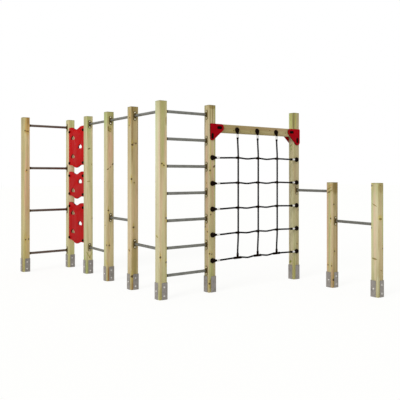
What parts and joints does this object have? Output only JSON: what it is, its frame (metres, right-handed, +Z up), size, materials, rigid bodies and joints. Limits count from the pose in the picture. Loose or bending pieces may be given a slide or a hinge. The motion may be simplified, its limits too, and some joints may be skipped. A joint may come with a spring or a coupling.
{
  "type": "parkour frame",
  "caption": "Timber parkour frame: square posts in a zigzag line, joined by steel bars, a ladder, moulded climbing panels with hand holes and a rope net under a beam.",
  "frame": {"origin": "on the ground, in the middle of the whole frame's length and width", "axes": "+Z up; +Y along the frame from the two short posts towards the bay with four wide-set bars; +X along the ladder towards the net"},
  "size_m": [2.7656, 4.0356, 2.16],
  "materials": {
    "timber": "pressure-treated softwood, planed and eased",
    "galvanised_steel": "hot-dip galvanised, dull",
    "bar_steel": "satin steel tube",
    "panel_plastic": "red moulded sheet, satin",
    "corner_plastic": "dark red moulded plate, semi-gloss",
    "net_rope": "black braided rope",
    "black_plastic": "black moulded caps, anchors and connectors",
    "bright_metal": "bright ferrules and screw heads"
  },
  "bodies": {
    "root": {"post_a": "timber", "foot_angle_a_left": "galvanised_steel", "foot_angle_a_right": "galvanised_steel", "post_b": "timber", "foot_angle_b_left": "galvanised_steel", "foot_angle_b_right": "galvanised_steel", "post_c": "timber", "foot_angle_c_left": "galvanised_steel", "foot_angle_c_right": "galvanised_steel", "post_d": "timber", "foot_angle_d_left": "galvanised_steel", "foot_angle_d_right": "galvanised_steel", "post_e": "timber", "foot_angle_e_left": "galvanised_steel", "foot_angle_e_right": "galvanised_steel", "post_f": "timber", "foot_angle_f_left": "galvanised_steel", "foot_angle_f_right": "galvanised_steel", "post_g": "timber", "foot_angle_g_left": "galvanised_steel", "foot_angle_g_right": "galvanised_steel", "post_h": "timber", "foot_angle_h_left": "galvanised_steel", "foot_angle_h_right": "galvanised_steel", "post_i": "timber", "foot_angle_i_left": "galvanised_steel", "foot_angle_i_right": "galvanised_steel", "post_j": "timber", "foot_angle_j_left": "galvanised_steel", "foot_angle_j_right": "galvanised_steel", "bar_ab_1": "bar_steel", "bar_ab_2": "bar_steel", "bar_ab_3": "bar_steel", "bar_ab_4": "bar_steel", "ladder_rung_1": "bar_steel", "ladder_rung_2": "bar_steel", "ladder_rung_3": "bar_steel", "ladder_rung_4": "bar_steel", "ladder_rung_5": "bar_steel", "ladder_rung_6": "bar_steel", "ladder_rung_7": "bar_steel", "bar_cd_top": "bar_steel", "bar_cd_low": "bar_steel", "bar_de_top": "bar_steel", "bar_de_middle": "bar_steel", "bar_ef_top": "bar_steel", "bar_ef_low": "bar_steel", "bar_hi": "bar_steel", "bar_ij": "bar_steel", "climbing_panel_top": "panel_plastic", "climbing_panel_middle": "panel_plastic", "climbing_panel_bottom": "panel_plastic", "net_beam": "timber", "corner_plate_g_front": "corner_plastic", "corner_plate_g_back": "corner_plastic", "corner_plate_h_front": "corner_plastic", "corner_plate_h_back": "corner_plastic", "rope_net": "net_rope"}
  },
  "joints": []
}
